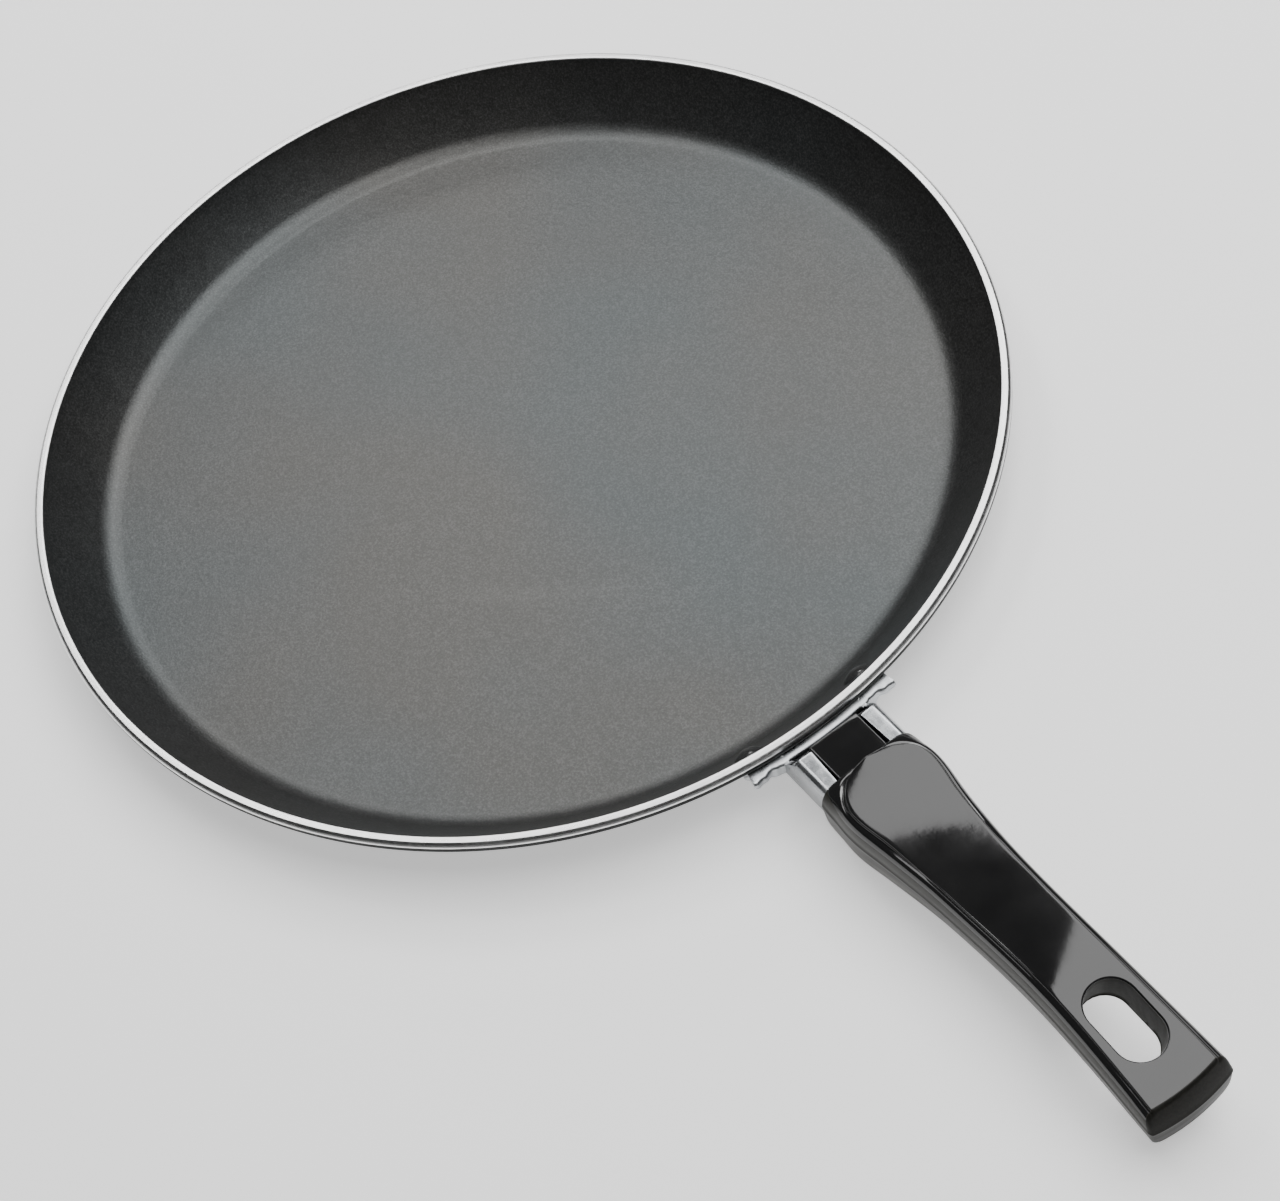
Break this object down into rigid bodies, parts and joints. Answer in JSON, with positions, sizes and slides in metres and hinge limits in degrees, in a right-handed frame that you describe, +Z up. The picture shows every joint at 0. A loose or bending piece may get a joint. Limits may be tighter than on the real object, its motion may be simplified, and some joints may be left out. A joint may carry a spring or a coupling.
{
  "type": "crepe pan",
  "caption": "Shallow crepe pan with a low flared wall, dark non-stick coat, bare metal rim, riveted steel bracket and black moulded handle with a hanging slot.",
  "frame": {"origin": "centre of the pan's flat underside", "axes": "+X from the pan's centre along the handle, +Z up out of the pan, +Y to the left when looking along +X from above"},
  "size_m": [0.3895, 0.2592, 0.0256],
  "materials": {
    "coated_body": "satin dark non-stick coat inside, black outside, bare rim",
    "bracket_steel": "bright stamped sheet",
    "rivet_coated": "satin dark coat",
    "handle_black": "black phenolic moulding",
    "fastener_steel": "zinc plated",
    "insert_brass": "turned"
  },
  "bodies": {
    "root": {"pan_body": "coated_body", "rivet_left": "rivet_coated", "rivet_right": "rivet_coated", "handle_bracket": "bracket_steel", "handle": "handle_black", "handle_screw": "fastener_steel", "lock_washer": "fastener_steel", "threaded_insert": "insert_brass"}
  },
  "joints": []
}
